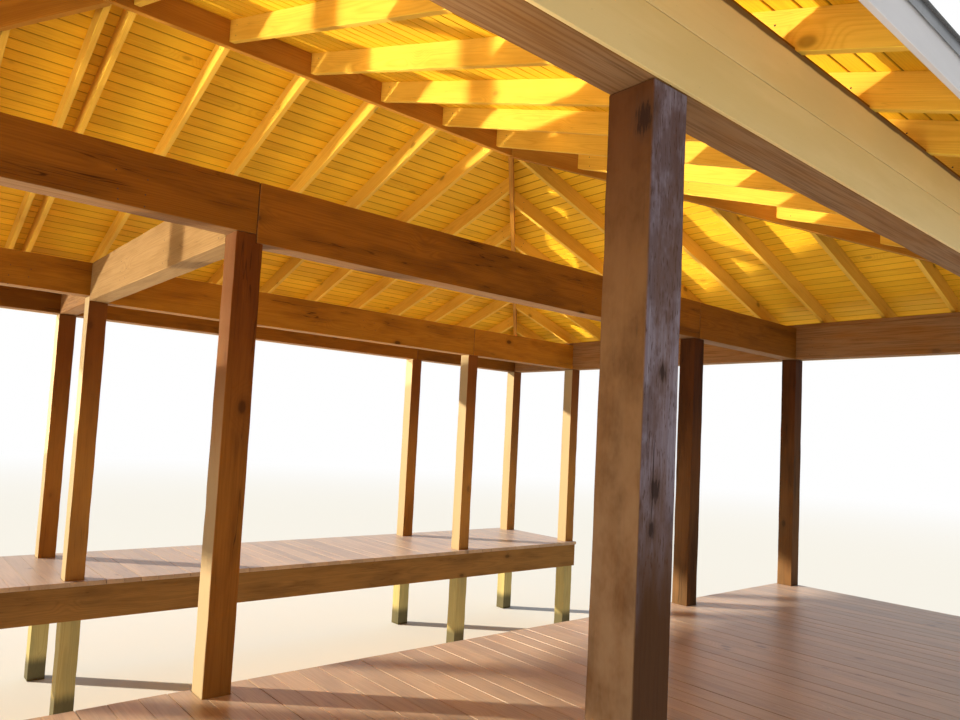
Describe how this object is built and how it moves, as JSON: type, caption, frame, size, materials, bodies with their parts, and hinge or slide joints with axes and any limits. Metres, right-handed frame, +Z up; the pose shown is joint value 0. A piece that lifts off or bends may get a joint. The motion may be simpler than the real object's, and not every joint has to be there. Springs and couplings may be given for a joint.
{
  "type": "boathouse",
  "caption": "Open-sided timber boathouse: hip roof on posts that stand in the water, with walks on three sides of one boat slip open at its mouth",
  "frame": {"origin": "at the level of the posts' feet, under the middle of the roof", "axes": "+X along the slip towards its open mouth, +Y from the front walk to the back walk, +Z up"},
  "size_m": [10.986, 7.726, 5.2099],
  "materials": {
    "post_timber": "rough-sawn timber with a brown stain, checked along the grain",
    "deck_timber": "reddish brown stained boards, worn smooth",
    "frame_timber": "brown stained timber",
    "beam_timber": "rough-sawn timber with a brown stain",
    "rafter_pine": "planed pine under a clear golden finish",
    "ceiling_pine": "tongue-and-groove pine under a clear golden finish",
    "shingle": "mineral-faced bitumen shingles",
    "cladding_paint": "smooth boards painted cream",
    "fascia_paint": "smooth boards painted white",
    "drip_metal": "folded sheet metal, grey"
  },
  "bodies": {
    "root": {"front_post_1": "post_timber", "front_post_2": "post_timber", "front_post_3": "post_timber", "front_post_4": "post_timber", "slip_front_post_1": "post_timber", "slip_front_post_2": "post_timber", "slip_front_post_3": "post_timber", "slip_front_post_4": "post_timber", "slip_back_post_1": "post_timber", "slip_back_post_2": "post_timber", "slip_back_post_3": "post_timber", "slip_back_post_4": "post_timber", "back_post_1": "post_timber", "back_post_2": "post_timber", "back_post_3": "post_timber", "back_post_4": "post_timber", "front_deck": "deck_timber", "back_deck": "deck_timber", "head_deck": "deck_timber", "front_frame": "frame_timber", "back_frame": "frame_timber", "head_frame": "frame_timber", "front_beam": "beam_timber", "back_beam": "beam_timber", "mouth_beam": "beam_timber", "head_beam": "beam_timber", "slip_front_beam": "beam_timber", "slip_back_beam": "beam_timber", "slip_tie_beam": "beam_timber", "back_walk_tie_beam": "beam_timber", "top_plate": "beam_timber", "front_rafters": "rafter_pine", "back_rafters": "rafter_pine", "mouth_rafters": "rafter_pine", "head_rafters": "rafter_pine", "hip_rafters": "rafter_pine", "ridge_board": "rafter_pine", "front_roof_boards": "ceiling_pine", "back_roof_boards": "ceiling_pine", "mouth_roof_boards": "ceiling_pine", "head_roof_boards": "ceiling_pine", "front_shingles": "shingle", "back_shingles": "shingle", "mouth_shingles": "shingle", "head_shingles": "shingle", "ridge_and_hip_caps": "shingle", "beam_cladding": "cladding_paint", "fascia": "fascia_paint", "drip_edge": "drip_metal"}
  },
  "joints": []
}
